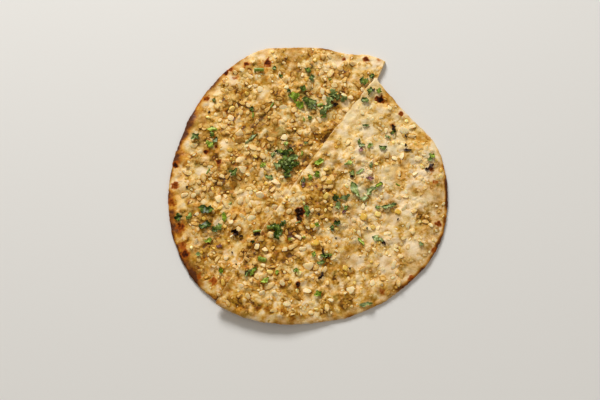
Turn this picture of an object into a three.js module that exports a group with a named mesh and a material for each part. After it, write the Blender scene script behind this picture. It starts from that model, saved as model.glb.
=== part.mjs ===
// A round garlic flatbread, cut straight across into two halves. The right half lies lapped over
// the left half: their cut edges cross at the back corner, and the lap widens towards the front.
// Millimetres, +Z up, +X to the right, +Y to the back. The bread lies flat on z = 0, and the
// origin is under the middle of its box.
import * as THREE from 'three';
import { mergeVertices } from 'three/addons/utils/BufferGeometryUtils.js';

// Dough thickness
const DOUGH_THICKNESS = 4.0;
const RIM_THICKNESS = 2.6;
const RIM_TAPER_WIDTH = 14;
const RIM_ROUNDING = 1.2;

// How the over half lies on the under half
const LAP_GAP = 0.3;
const RAMP_LENGTH = 55;

// The two halves. mid is the middle of the cut edge, turn is the direction of the cut edge from
// its front end to its back end, cut is half the length of the cut edge, and bow is how far that
// edge bulges outwards. rim holds the uneven baked rim as pairs of an angle round mid, from the
// back corner, and the radius there.
const UNDER_HALF = {
  side: 1,
  mid: [15.3, -2.9],
  turn: 65.5,
  cut: 117,
  bow: 0,
  rim: [
    [0, 117], [6, 118], [16, 114.7], [25, 118.4], [40, 123.5], [48, 128.8], [56, 129],
    [66, 127.5], [78, 125], [100, 122.8], [115, 124.7], [130, 126.8], [148, 129],
    [158, 128.7], [169, 125], [180, 117],
  ],
};
const OVER_HALF = {
  side: -1,
  mid: [-7.8, -7.6],
  turn: 56.4,
  cut: 112.5,
  bow: 3.5,
  rim: [
    [0, 112.5], [6, 109.7], [14, 107.6], [22, 108.5], [29, 111.4], [35, 115.2], [46, 117],
    [64, 117.5], [76, 118], [87, 117], [100, 113.5], [121, 110.2], [134, 108.4], [148, 109],
    [162, 111], [180, 112.5],
  ],
};

// Gentle unevenness of the baked top: long waves, and low blisters where the dough rose.
const WAVES = [
  { height: 0.28, length: 74, heading: 25, phase: 0.6 },
  { height: 0.22, length: 52, heading: 118, phase: 2.1 },
];
const BLISTERS = [
  { at: [-52, 88], radius: 17, height: 0.9 },
  { at: [-88, 8], radius: 15, height: 0.7 },
  { at: [-20, 52], radius: 19, height: 0.6 },
  { at: [-58, -28], radius: 16, height: 0.8 },
  { at: [26, 96], radius: 14, height: 0.7 },
  { at: [84, 22], radius: 16, height: 0.8 },
  { at: [92, -42], radius: 14, height: 0.9 },
  { at: [46, -52], radius: 18, height: 0.7 },
  { at: [12, -92], radius: 15, height: 0.6 },
];

// Mesh fineness
const STATIONS = 46;
const STEPS_ACROSS = 19;
const EDGE_LEVELS = [0, 0.13, 0.37, 0.63, 0.87, 1];

/** The unit vector at an angle in degrees. */
function heading(degrees) {
  const angle = THREE.MathUtils.degToRad(degrees);
  return new THREE.Vector2(Math.cos(angle), Math.sin(angle));
}

/** Along the cut edge towards the back, and across it towards the rim. */
function cutAxes(half) {
  return { along: heading(half.turn), across: heading(half.turn + 90 * half.side) };
}

/** The point at polar place (angle, radius) round the middle of a half's cut edge. */
function polarPoint(half, angle, radius) {
  const { along, across } = cutAxes(half);
  return new THREE.Vector2(...half.mid)
    .addScaledVector(along, radius * Math.cos(angle))
    .addScaledVector(across, radius * Math.sin(angle));
}

/** A smooth radius from the pairs of angle and radius of a half's rim. */
function rimRadius(half) {
  const [angles, radii] = [0, 1].map((column) => half.rim.map((pair) => pair[column]));
  const curve = new THREE.CubicInterpolant(angles, radii, 1);
  return (angle) => curve.evaluate(THREE.MathUtils.radToDeg(angle))[0];
}

/** The point of the bowed cut edge that lies square to a rim angle. */
function cutPoint(half, angle) {
  const { along, across } = cutAxes(half);
  return new THREE.Vector2(...half.mid)
    .addScaledVector(along, half.cut * Math.cos(angle))
    .addScaledVector(across, -half.bow * Math.sin(angle) ** 2);
}

/** How far a point lies beyond the under half's cut edge. */
function beyondUnderCut(point) {
  const { across } = cutAxes(UNDER_HALF);
  return -point.clone().sub(new THREE.Vector2(...UNDER_HALF.mid)).dot(across);
}

/** The uneven height that waves and blisters add to a flat top. */
function unevenness(point) {
  const waves = WAVES.map(({ height, length, heading: degrees, phase }) => {
    const distance = point.dot(heading(degrees));
    return height * Math.sin((2 * Math.PI * distance) / length + phase);
  });
  const blisters = BLISTERS.map(({ at, radius, height }) => {
    const distance = point.distanceTo(new THREE.Vector2(...at)) / radius;
    return distance < 1 ? height * 0.5 * (1 + Math.cos(Math.PI * distance)) : 0;
  });
  return [...waves, ...blisters].reduce((sum, value) => sum + value, 0);
}

/** The dough's thickness at a point, thinning to the rim. */
function thickness(point, rimDistance) {
  const inward = THREE.MathUtils.smoothstep(rimDistance, 0, RIM_TAPER_WIDTH);
  const full = DOUGH_THICKNESS + unevenness(point);
  return THREE.MathUtils.lerp(RIM_THICKNESS, full, inward);
}

/** The under half lies flat on the surface. */
function underFloor() {
  return 0;
}

/** The over half rests on the under half, then slopes down to the surface beyond its cut edge. */
function overFloor(point) {
  const rest = DOUGH_THICKNESS + unevenness(point) + LAP_GAP;
  return rest * (1 - THREE.MathUtils.smoothstep(beyondUnderCut(point), 0, RAMP_LENGTH));
}

/** One closed section of a half, from its cut edge to its rim along the bottom and back on top. */
function section(half, floorAt, angle, rimPoint) {
  const start = cutPoint(half, angle);
  const width = start.distanceTo(rimPoint);
  const rounding = Math.min(RIM_ROUNDING, width / 4);
  const place = (fraction, level, inset) => {
    const t = width > 0 ? (fraction * (width - rounding) + inset) / width : 0;
    const point = start.clone().lerp(rimPoint, t);
    const z = floorAt(point) + level * thickness(point, width * (1 - t));
    return new THREE.Vector3(point.x, point.y, z);
  };
  const across = Array.from({ length: STEPS_ACROSS }, (_, i) => (i + 1) / (STEPS_ACROSS + 1));
  const bulge = (level) => rounding * Math.sqrt(1 - (2 * level - 1) ** 2);
  return [
    ...across.map((fraction) => place(fraction, 0, 0)),
    ...EDGE_LEVELS.map((level) => place(1, level, bulge(level))),
    ...across.toReversed().map((fraction) => place(fraction, 1, 0)),
    ...EDGE_LEVELS.toReversed().map((level) => place(0, level, 0)),
  ];
}

/** Joins a row of equal closed sections into one closed body, pointed at both ends. */
function loft(sections, reversed) {
  const ring = sections[0].length;
  const positions = sections.flat().flatMap(({ x, y, z }) => [x, y, z]);
  const indices = [];
  for (let i = 0; i + 1 < sections.length; i += 1) {
    for (let j = 0; j < ring; j += 1) {
      const near = i * ring + j;
      const nearNext = i * ring + ((j + 1) % ring);
      const far = near + ring;
      const farNext = nearNext + ring;
      for (const [a, b, c] of [[near, nearNext, farNext], [near, farNext, far]]) {
        indices.push(...(reversed ? [a, c, b] : [a, b, c]));
      }
    }
  }
  const loose = new THREE.BufferGeometry();
  loose.setAttribute('position', new THREE.Float32BufferAttribute(positions, 3));
  loose.setIndex(indices);
  return dropFlatTriangles(mergeVertices(loose, 0.005));
}

/** Takes out the triangles that closed up to a line at the pointed ends. */
function dropFlatTriangles(geometry) {
  const index = Array.from(geometry.index.array);
  const kept = [];
  for (let i = 0; i < index.length; i += 3) {
    const [a, b, c] = index.slice(i, i + 3);
    if (a !== b && b !== c && c !== a) kept.push(a, b, c);
  }
  geometry.setIndex(kept);
  return geometry;
}

/** One half of the bread as a closed slab with its true outline, rim and cut edge. */
function breadHalf(name, half, floorAt, material) {
  const radiusAt = rimRadius(half);
  const sections = Array.from({ length: STATIONS + 1 }, (_, i) => {
    const angle = (Math.PI * i) / STATIONS;
    return section(half, floorAt, angle, polarPoint(half, angle, radiusAt(angle)));
  });
  const geometry = loft(sections, half.side > 0);
  geometry.computeVertexNormals();
  const mesh = new THREE.Mesh(geometry, material);
  mesh.name = name;
  return mesh;
}

/** Baked dough under butter and chopped garlic. */
function bakedDough(colour) {
  return new THREE.MeshStandardMaterial({ color: colour, roughness: 0.55, metalness: 0 });
}

const bread = new THREE.Group();
bread.add(breadHalf('under_half', UNDER_HALF, underFloor, bakedDough(0xc29a5e)));
bread.add(breadHalf('over_half', OVER_HALF, overFloor, bakedDough(0xd0ae76)));

export default bread;
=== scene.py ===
"""A round garlic flatbread, cut across into two halves, the right one lapped over the left one.

Metres, +Z up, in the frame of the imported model: the bread lies flat on z = 0.
"""
import math
import random

import bmesh
import bpy
import numpy as np
from mathutils import Euler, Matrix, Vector, noise
from mathutils.bvhtree import BVHTree


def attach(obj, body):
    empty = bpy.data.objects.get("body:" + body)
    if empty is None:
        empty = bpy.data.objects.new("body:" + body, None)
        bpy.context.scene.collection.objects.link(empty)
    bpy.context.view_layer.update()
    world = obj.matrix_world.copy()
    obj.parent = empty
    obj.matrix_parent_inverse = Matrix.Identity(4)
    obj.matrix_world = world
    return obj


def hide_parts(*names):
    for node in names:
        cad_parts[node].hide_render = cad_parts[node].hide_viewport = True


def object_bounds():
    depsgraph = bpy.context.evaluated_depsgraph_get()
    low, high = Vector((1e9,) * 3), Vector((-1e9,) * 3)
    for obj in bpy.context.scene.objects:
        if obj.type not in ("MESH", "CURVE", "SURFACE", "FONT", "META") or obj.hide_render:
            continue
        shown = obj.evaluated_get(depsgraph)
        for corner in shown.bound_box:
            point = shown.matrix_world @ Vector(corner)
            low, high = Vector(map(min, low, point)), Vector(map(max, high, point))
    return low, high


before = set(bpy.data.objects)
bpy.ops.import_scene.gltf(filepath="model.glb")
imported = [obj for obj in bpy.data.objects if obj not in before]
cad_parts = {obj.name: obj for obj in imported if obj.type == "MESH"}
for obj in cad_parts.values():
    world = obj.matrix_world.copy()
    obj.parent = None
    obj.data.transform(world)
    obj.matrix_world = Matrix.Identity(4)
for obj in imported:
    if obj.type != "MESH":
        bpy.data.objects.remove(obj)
cad_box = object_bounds()
MM = 0.001

# ------------------------------------------------------------------------------------------ The view
# The bread lies flat and is looked down on steeply from the front. Browned places and toppings are
# placed by where they show from here, so the camera comes first.
PICTURE = (600, 400)
LENS = 70.0
SENSOR = 36.0
VIEW_TILT = math.radians(70)
VIEW_DISTANCE = 913.5 * MM
VIEW_AIM = Vector((-6.3, -15.8, 0)) * MM
FOCAL_PIXELS = LENS / SENSOR * PICTURE[0]
PIXEL = VIEW_DISTANCE / FOCAL_PIXELS
DOUGH_THICKNESS = 4 * MM

camera = bpy.data.objects.new("camera", bpy.data.cameras.new("camera"))
camera.data.lens = LENS
camera.data.sensor_width = SENSOR
camera.data.clip_start = 0.01
camera.rotation_euler = (math.pi / 2 - VIEW_TILT, 0, 0)
camera.location = VIEW_AIM + VIEW_DISTANCE * Vector((0, -math.cos(VIEW_TILT), math.sin(VIEW_TILT)))
bpy.context.scene.collection.objects.link(camera)
bpy.context.scene.camera = camera


def search_tree(mesh):
    """A tree that finds a mesh's nearest point, or where a ray first hits it."""
    corners = [v.co for v in mesh.vertices]
    return BVHTree.FromPolygons(corners, [tuple(f.vertices) for f in mesh.polygons])


solids = [search_tree(node.data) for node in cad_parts.values()]


def plan_of(u, v, above=0.0):
    """The plan position of what shows, this far above the bread's top, at a picture point."""
    ray = Vector((u - PICTURE[0] / 2, PICTURE[1] / 2 - v, -FOCAL_PIXELS))
    ray.rotate(Euler(camera.rotation_euler))
    hits = [solid.ray_cast(camera.location, ray)[0] for solid in solids]
    height = max((hit.z for hit in hits if hit is not None), default=DOUGH_THICKNESS) + above
    return (camera.location + ray * ((height - camera.location.z) / ray.z)).xy


# ------------------------------------------------------------------------------- Dough of the halves
# Thin wheat dough, rolled out, spread with garlic mash, baked, and cut across while hot.
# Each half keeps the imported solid's outline; its skin is made finer and gets its lumps and pits.
DOUGH_GRAIN = 0.74 * MM
# Which way each cut face looks, square to its cut edge, and how far a face may turn from that.
CUT_DIRECTIONS = {"under_half": math.radians(65.5 - 90), "over_half": math.radians(56.4 + 90)}
CUT_SPREAD = math.radians(20)
# Upward shares of a normal: below the first a face is a side, and a top begins and is reached.
SIDE_SLOPE = 0.75
TOP_SLOPES = (0.3, 0.85)
# At its cut edge the over half lifts and wanders, each fading out over a reach, and is bare.
LIFT_AT_CUT, LIFT_REACH = 0.6 * MM, 7 * MM
WANDER_AT_CUT, WANDER_REACH = 0.25 * MM, 3 * MM
BARE_AT_CUT = 4 * MM
# Further than any edge, and a height that is clear of the bread, to look down from.
FAR_AWAY = 1.0
ABOVE_BREAD = 30 * MM
UP, DOWN = Vector((0, 0, 1)), Vector((0, 0, -1))
# How far soft noise spreads round 0.
NOISE_SPREAD = 0.26
# Lumps of the topped skin: how wide, how high, and where the pattern starts.
LUMPS = [(17 * MM, 0.30 * MM, 1.3), (8 * MM, 0.32 * MM, 3.1), (4.2 * MM, 0.19 * MM, 9.4)]
MASH_FOLDS = [(9.0 * MM, 0.34 * MM, 31.7), (4.6 * MM, 0.24 * MM, 27.9)]
MASH_GRAINS = [(4.6 * MM, 0.30 * MM, 5.5), (2.8 * MM, 0.18 * MM, 8.2)]
# How much each cause changes the skin's tone, which runs from 0, dark brown, to 1, palest: soft
# noise of three widths, patches, the mash's grains and folds, with painted light on their tops and
# painted shade in their creases, and shaded hollows, butter and bare dough.
WIDE_TONE, MIDDLE_TONE, NARROW_TONE = 0.13, 0.17, 0.08
PALE_TONE, BROWN_TONE, BROAD_LIMIT = 0.33, 0.41, 0.38
GRAIN_TONE, FOLD_SHADE_TONE = 0.13, 0.22
HOLLOW_SHADE_TONE, POOL_TONE, BARE_TONE, STRIP_TONE = 0.32, 0.12, 0.07, 0.08
# Smooth bare dough between the mash: picture point and radius in pixels.
BARE_PATCHES = [
    ((262, 54), 11), ((292, 52), 9), ((243, 66), 8), ((336, 60), 7), ((346, 104), 10),
    ((351, 116), 11), ((338, 132), 11), ((368, 128), 9), ((384, 148), 7), ((392, 219), 8),
    ((412, 250), 10), ((386, 262), 9), ((372, 236), 8), ((428, 196), 9), ((436, 216), 7),
    ((352, 262), 8), ((216, 90), 7), ((380, 112), 7), ((330, 150), 8), ((388, 172), 7),
    ((228, 146), 7), ((185, 192), 7), ((200, 172), 6), ((181, 206), 6), ((234, 82), 6), ((190, 150), 5),
]
# Places that came out paler or browner than the rest: picture point, radius, and how much.
PALE_PATCHES = [
    ((226, 146), 10, 0.5), ((345, 150), 16, 0.6), ((392, 172), 20, 0.3), ((410, 240), 24, 0.1),
    ((345, 122), 18, 0.2), ((340, 87), 9, 0.4), ((255, 200), 10, 0.3), ((365, 197), 12, 1.0),
    ((425, 175), 10, 0.4), ((311, 203), 12, 1.0), ((233, 157), 12, 1.0), ((332, 159), 11, 1.0),
    ((380, 128), 9, 0.5), ((237, 174), 10, 1.0), ((188, 250), 8, 0.4), ((315, 77), 10, 0.9),
    ((324, 191), 8, 0.7), ((340, 232), 9, 0.8), ((362, 225), 9, 0.8), ((368, 107), 8, 0.7),
    ((192, 127), 8, 0.6), ((267, 113), 10, 0.8), ((190, 185), 9, 0.3), ((222, 195), 80, 0.22),
]
BROWN_PATCHES = [
    ((245, 110), 8, 0.6), ((257, 68), 10, 0.7), ((282, 136), 10, 0.7), ((325, 136), 9, 0.6),
    ((215, 160), 8, 0.5), ((202, 222), 9, 0.6), ((240, 232), 9, 0.6), ((312, 244), 15, 0.5),
    ((290, 262), 12, 0.5), ((408, 148), 6, 0.5), ((395, 128), 5, 0.6), ((342, 186), 8, 0.7),
    ((349, 212), 7, 0.5), ((297, 182), 10, 0.5), ((214, 282), 6, 0.8), ((205, 121), 6, 0.6),
    ((265, 150), 9, 0.4), ((300, 75), 8, 0.4), ((330, 270), 10, 0.4), ((240, 190), 8, 0.3),
    ((427, 222), 11, 1.2), ((300, 278), 16, 0.5), ((270, 266), 12, 0.4), ((279, 86), 10, 0.5),
    ((242, 214), 12, 0.9), ((182, 159), 9, 0.9), ((384, 102), 6, 0.5), ((416, 234), 10, 0.9),
    ((420, 144), 9, 0.8), ((348, 108), 7, 0.3), ((226, 284), 10, 1.0), ((193, 204), 9, 0.7),
    ((296, 58), 8, 0.3), ((338, 59), 7, 0.3), ((319, 102), 7, 0.6), ((300, 76), 30, 0.08),
    ((310, 292), 40, 0.2),
]
# Scorched spots: picture point, radius, and how black each is.
CHAR_SPOTS = [
    ((300, 212), 5.5, 1.0), ((379.5, 99.5), 4.2, 1.0), ((393, 125), 3.4, 0.4), ((431, 168), 3.4, 0.7),
    ((246, 64), 3.0, 0.8), ((268, 63), 4.4, 0.8), ((231, 70), 3.0, 0.7), ((207, 99), 3.4, 0.7),
    ((226, 73), 3.8, 0.9), ((235, 78), 3.0, 0.5), ((344, 59), 2.4, 0.6),
    ((366, 59), 3.6, 0.7), ((378, 60), 3.0, 0.35), ((401, 114), 3.0, 0.7), ((438, 224), 4.0, 0.7),
    ((434, 250), 3.4, 0.6), ((411, 278), 3.8, 0.6), ((382, 292), 3.2, 0.5),
    ((206, 152), 3.0, 0.9), ((219, 162), 3.4, 0.9), ((216, 146), 2.2, 0.8),
    ((175, 165), 4.0, 0.9), ((175, 185), 4.6, 0.65), ((171, 202), 4.6, 0.6), ((181, 227), 5.0, 0.7),
    ((183, 245), 4.4, 0.55), ((185, 254), 5.0, 0.85), ((214, 281), 4.0, 0.6), ((199, 277), 3.0, 0.5),
    ((298, 285), 3.0, 0.9), ((435, 182), 3.0, 0.45),
]
# Hollows painted in deep shade, where butter also browned, places where more or less butter ran,
# where the top toasted redder, and where green juice stained it: picture point and radius.
SHADED_HOLLOW_PATCHES = [
    ((309, 156), 4), ((302, 139), 4), ((291, 146), 3.6), ((287, 232), 4.6), ((290, 257), 3.6),
    ((252, 158), 4), ((349, 91), 3.6), ((321, 90), 3.6), ((319, 214), 3.2), ((247, 272), 4),
    ((217, 184), 2.8), ((258, 86), 2.6), ((325, 137), 4), ((301, 136), 3.5), ((388, 116), 3),
    ((412, 152), 3.5), ((403, 176), 3), ((333, 186), 4), ((268, 271), 3.2), ((313, 270), 3.2),
    ((296, 229), 3.4), ((318, 247), 3), ((424, 219), 4), ((233, 121), 3), ((246, 106), 3),
]
GOLDEN_PATCHES = [
    ((405, 225), 10), ((346, 116), 10), ((183, 246), 8), ((390, 171), 8), ((184, 152), 8),
    ((325, 114), 8), ((315, 239), 9), ((235, 245), 8), ((413, 136), 9), ((331, 305), 8),
    ((324, 201), 8), ((309, 108), 8), ((403, 145), 7), ((293, 196), 7),
]
DRY_PATCHES = [
    ((431, 243), 10), ((367, 187), 9), ((360, 222), 10), ((412, 191), 9), ((386, 212), 7),
    ((365, 268), 9), ((203, 137), 8), ((336, 158), 8), ((392, 194), 8), ((442, 206), 8),
    ((419, 265), 8), ((363, 160), 7),
]
TOASTED_PATCHES = [
    ((236, 214), 9), ((419, 142), 8), ((175, 202), 8), ((401, 170), 8), ((384, 101), 7),
    ((182, 158), 8), ((179, 233), 8), ((321, 245), 9), ((306, 294), 7),
]
STAINED_PATCHES = [
    ((360, 198), 10), ((282, 161), 12), ((306, 98), 12), ((305, 156), 7), ((364, 187), 8),
    ((311, 77), 7), ((276, 149), 8), ((304, 116), 8), ((348, 208), 7), ((191, 130), 8),
    ((285, 131), 8), ((256, 138), 7),
]


def smooth(value, low, high):
    """0 below low, 1 above high, and a smooth rise between them; high may be the smaller one."""
    t = np.clip((np.asarray(value, float) - low) / (high - low), 0, 1)
    return t * t * (3 - 2 * t)


def lumps(points, size, seed, octaves=1):
    """Soft noise of unit spread at points, size wide, each further octave half as wide."""
    places = (np.asarray(points) / size + np.array((seed, 1.7 * seed, 0.6 * seed))).tolist()
    if octaves == 1:
        return np.array([noise.noise(p) for p in places]) / NOISE_SPREAD
    spread = NOISE_SPREAD * octaves ** 0.5
    return np.array([noise.fractal(p, 0, 2.1, octaves) for p in places]) / spread


def folds(points, size, seed):
    """Soft pillows with creases between them, 0 in a crease and about 1 on a pillow."""
    return np.minimum(1.2, 1.1 * np.abs(lumps(points, size, seed)))


def grains(points, size, seed):
    """Packed grains: how high each point is on its grain, 0 to 1, and the grain's number, -1 to 1."""
    places = (np.asarray(points) / size + np.array((seed, -seed, 0.3 * seed))).tolist()
    heights, numbers = [], []
    for place in places:
        (nearest, second, *_), (centre, *_) = noise.voronoi(place)
        heights.append(min(1.0, 1.9 * (second - nearest)))
        numbers.append(noise.cell(centre * 7.3))
    return np.array(heights), np.array(numbers)


def patchy(points, patches, unevenness=0.22, size=6 * MM):
    """How far inside the strongest of some ragged round patches each point is, 0 to 1."""
    ragged = 1 + unevenness * lumps(points * (1, 1, 0), size, 2.9)
    inside = np.zeros(len(points))
    for (u, v), radius, *strength in patches:
        away = np.linalg.norm(points[:, :2] - np.array(plan_of(u, v)), axis=1)
        own = 1 - smooth(away / (radius * PIXEL) * ragged, 0.45, 1.3)
        inside = np.maximum(inside, own * (strength[0] if strength else 1))
    return inside


def get_array(items, name):
    """A mesh's vectors as an array with one row for each item."""
    flat = np.zeros(len(items) * 3, np.float32)
    items.foreach_get(name, flat)
    return flat.reshape(-1, 3).astype(float)


def merged_copy(node):
    """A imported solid's mesh with its loose triangles joined up."""
    whole = bmesh.new()
    whole.from_mesh(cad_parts[node].data)
    bmesh.ops.remove_doubles(whole, verts=whole.verts, dist=0.002 * MM)
    mesh = bpy.data.meshes.new(node)
    whole.to_mesh(mesh)
    whole.free()
    return mesh


def evenly_fine(mesh):
    """A closed mesh's shape again, in small even faces."""
    slab = bpy.data.objects.new(mesh.name, mesh)
    bpy.context.scene.collection.objects.link(slab)
    remesh = slab.modifiers.new("even", "REMESH")
    remesh.mode = "VOXEL"
    remesh.voxel_size = DOUGH_GRAIN
    fine = bpy.data.meshes.new_from_object(slab.evaluated_get(bpy.context.evaluated_depsgraph_get()))
    bpy.data.objects.remove(slab)
    return fine


def side_tree(mesh, wanted):
    """A search tree over the upright faces of a slab whose outward plan direction is wanted."""
    corners = [v.co for v in mesh.vertices]
    sides = [f for f in mesh.polygons if abs(f.normal.z) < SIDE_SLOPE]
    faces = [tuple(f.vertices) for f in sides if wanted(math.atan2(f.normal.y, f.normal.x))]
    return BVHTree.FromPolygons(corners, faces)


class Half:
    """One half of the bread: its fine mesh, and what is known of each point of its skin."""

    def __init__(self, node):
        self.node = node
        slab = merged_copy(node)
        self.mesh = evenly_fine(slab)
        self.solid = search_tree(slab)

        def faces_cut(angle):
            return math.cos(angle - CUT_DIRECTIONS[node]) > math.cos(CUT_SPREAD)

        self.cut = side_tree(slab, faces_cut)
        self.rim = side_tree(slab, lambda angle: not faces_cut(angle))
        self.points = get_array(self.mesh.vertices, "co")
        self.normals = get_array(self.mesh.vertex_normals, "vector")
        self.top = smooth(self.normals[:, 2], *TOP_SLOPES)
        self.bottom = smooth(-self.normals[:, 2], *TOP_SLOPES)
        self.to_rim = self.distance(self.rim)
        self.to_cut = self.distance(self.cut)
        self.to_strip = self.to_cut if node == "over_half" else np.full(len(self.points), FAR_AWAY)
        self.shown = np.ones(len(self.points))
        self.marks = {}

    def distance(self, tree):
        return np.array([tree.find_nearest(p)[3] for p in self.points.tolist()])

    def keep_shape(self):
        """Hands the moved points to the mesh and to the search tree of its skin."""
        self.points[:, 2] = np.maximum(self.points[:, 2], 0)
        self.mesh.vertices.foreach_set("co", self.points.astype(np.float32).ravel())
        self.mesh.update()
        self.skin = search_tree(self.mesh)


under, over = Half("under_half"), Half("over_half")
halves = (under, over)

# The under half is smooth where the over half lies on it, and the over half lifts at its cut edge.
lies_under = [over.solid.ray_cast(Vector(p), UP)[0] is not None for p in under.points.tolist()]
under.shown = 1 - np.array(lies_under) * smooth(under.distance(over.cut), 1.0 * MM, 4.0 * MM)
lift = LIFT_AT_CUT * np.clip(1 + lumps(over.points, 30 * MM, 7.7), 0, 2)
over.points[:, 2] += lift * np.exp(-over.to_cut / LIFT_REACH)
wander = WANDER_AT_CUT * lumps(over.points * (1, 1, 0), 9 * MM, 5.9, 2)
wander *= np.exp(-over.to_cut / WANDER_REACH)
over.points[:, 0] += wander * math.cos(CUT_DIRECTIONS["over_half"])
over.points[:, 1] += wander * math.sin(CUT_DIRECTIONS["over_half"])


def bare_width(y):
    """How wide the strip without mash is along the over half's cut edge, at a plan position."""
    shown = 0.25 + 0.75 * smooth(y, -10 * MM, 18 * MM)
    return BARE_AT_CUT * shown * smooth(y, -50 * MM, -30 * MM) + 0.2 * MM


def left_side(x):
    """1 at the bread's left rim, 0 from its middle on: baked hardest there."""
    return smooth(-np.asarray(x), 60 * MM, 95 * MM)


def calm(half, x):
    """How soft and pale the topping is at a plan position: the over half's right part got less."""
    return smooth(x, 5 * MM, 40 * MM) * (half is over)


def bareness(flat, to_rim, to_strip):
    """How free of mash the skin is at plan points, and how far each is inside the bare strip."""
    ragged = 1 + 0.3 * lumps(flat, 6 * MM, 3.4)
    strip = 1 - smooth(to_strip * ragged / bare_width(flat[:, 1]), 0.6, 1.6)
    rim_band = 1 - smooth(to_rim * ragged / (1 + 1.2 * left_side(flat[:, 0])), 1.5 * MM, 5.5 * MM)
    thin = smooth(lumps(flat, 16 * MM, 6.6), 1.2, 1.9)
    bare = np.maximum.reduce([patchy(flat, BARE_PATCHES), 0.8 * rim_band, 0.8 * thin, 0.8 * strip])
    return bare, strip


def mash_texture(flat):
    """The mash at plan points: its relief in metres, how coarse it is, and how high its grains
    and its folds stand."""
    sway = [lumps(flat, 4 * MM, seed) for seed in (12.1, 14.9)]
    warped = flat + 0.9 * MM * np.stack((*sway, np.zeros(len(flat))), axis=1)
    coarse = 0.4 + 0.6 * smooth(lumps(flat, 15 * MM, 21.3, 2), -0.4, 1.0)
    relief, grain, fold = 0, 0, 0
    for size, height, seed in MASH_GRAINS:
        dome, own = grains(warped, size, seed)
        relief = relief + coarse * height * (0.8 * dome + 0.7 * own - 0.3)
        grain = grain + coarse * (0.6 * own + 0.8 * (dome - 0.45)) / len(MASH_GRAINS)
    for size, height, seed in MASH_FOLDS:
        pillow = folds(warped, size, seed) - 0.7
        relief = relief + height * pillow
        fold = fold + pillow / len(MASH_FOLDS)
    return relief, coarse, grain, fold


def skin_pattern(points, to_rim, to_strip):
    """Relief in metres, and marks of the topped skin: its tone, and how buttery, bare, coarse,
    toasted and stained it is."""
    flat = points * (1, 1, 0)
    bare, strip = bareness(flat, to_rim, to_strip)
    mash, coarse, grain, fold = mash_texture(flat)
    relief = sum(height * lumps(flat, size, seed) for size, height, seed in LUMPS)
    relief = relief * (1 - 0.4 * bare) + mash * (1 - 0.75 * bare)
    broad = WIDE_TONE * lumps(flat, 34 * MM, 4.4, 2) + MIDDLE_TONE * lumps(flat, 12 * MM, 7.1, 2)
    broad += PALE_TONE * patchy(flat, PALE_PATCHES) - BROWN_TONE * patchy(flat, BROWN_PATCHES)
    # The mash's grains differ in tone at random; grains and folds are painted paler on top and darker in
    # the creases: painted light and shade that follow their relief.
    speckle = NARROW_TONE * lumps(flat, 5 * MM, 2.2, 2) + GRAIN_TONE * grain + FOLD_SHADE_TONE * fold
    # Painted shade in the hollows, where butter also gathered and browned.
    deep = patchy(flat, SHADED_HOLLOW_PATCHES, 0.4, 2.4 * MM)
    pools = smooth(lumps(flat, 4.2 * MM, 41.5, 2), 0.5, 1.6) * (1 - 0.8 * bare)
    tone = BROAD_LIMIT * np.tanh(broad / BROAD_LIMIT) + speckle * (1 - 0.75 * bare)
    tone += BARE_TONE * bare + STRIP_TONE * strip - HOLLOW_SHADE_TONE * deep - POOL_TONE * pools
    butter = 0.5 + 0.28 * lumps(flat, 9 * MM, 15.5, 2) + 0.14 * lumps(flat, 3 * MM, 18.5)
    butter += 1.1 * patchy(flat, GOLDEN_PATCHES) - 0.6 * patchy(flat, DRY_PATCHES)
    butter += deep + 0.7 * pools - 0.4 * bare
    toast = 0.7 * patchy(flat, TOASTED_PATCHES)
    stain = 0.6 * patchy(flat, STAINED_PATCHES) + 0.5 * smooth(lumps(flat, 13 * MM, 25.4, 2), 0.1, 1.5)
    stain *= 0.4 + 0.6 * smooth(flat[:, 1], -70 * MM, 0)
    return {"relief": relief, "tone": tone, "butter": butter, "bare": bare, "coarse": coarse,
            "toast": toast, "stain": stain}


for half in halves:
    pattern = skin_pattern(half.points, half.to_rim, half.to_strip)
    near_rim = 1 - smooth(half.to_rim, 1.0 * MM, 7 * MM)
    relief = pattern["relief"] * half.top * half.shown * (1 - 0.5 * near_rim)
    side = 1 - half.top - half.bottom
    ragged = 0.14 * lumps(half.points, 2.4 * MM, 2.2) + 0.22 * lumps(half.points, 10 * MM, 6.1)
    shift = half.normals * (ragged * side * MM)[:, None]
    half.points += shift * (1, 1, 0.3)
    half.points[:, 2] += relief
    half.points[:, 2] += 0.12 * MM * half.bottom * (1.5 + lumps(half.points, 5 * MM, 8.8))
    half.pattern = pattern
    half.keep_shape()


def skin_at(x, y):
    """The half, point and normal of the bread's topped skin at a plan position, or None."""
    for half in (over, under):
        point, normal, _, _ = half.skin.ray_cast(Vector((x, y, ABOVE_BREAD)), DOWN)
        if point is not None:
            return half, point, normal
    return None


# ------------------------------------------------------------------------------------ Chopped garlic
# Raw garlic chopped by hand and pressed into the dough before baking: pale, moist, flat chips,
# the largest as wide as a lentil, partly sunk in butter that browned round them; each is painted
# darker towards its foot, partly as shade.
rng = random.Random(7)
# How deep a chip is sunk, as a share of its height, how much it leans, and how flat its top is.
CHIP_SINK = 0.52
LEAN = 0.24
FLAT_TOP = 0.66
SHARP_EDGE = math.radians(38)
# How far above the dough's top a bit shows.
BIT_HEIGHT = 0.8 * MM
# Tone of chips and crumbs where the skin changes nothing, and how much paler some are.
CHIP_TONE, CRUMB_TONE = 0.60, 0.64
LARGE_CHIP_PALENESS, CALM_CHIP_PALENESS = 0.28, 0.22
# Width in mm and number of the chips and crumbs that are scattered. Fewer lie on the calm part of
# the over half, and what is wider than a crumb is a chip.
GARLIC_SIZES = [(5.0, 50), (4.2, 140), (3.4, 240), (2.6, 280), (1.9, 260)]
TRIES_PER_BIT = 14
CALM_SHARE = 0.85
CRUMB_WIDTH = 2.6 * MM
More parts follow.
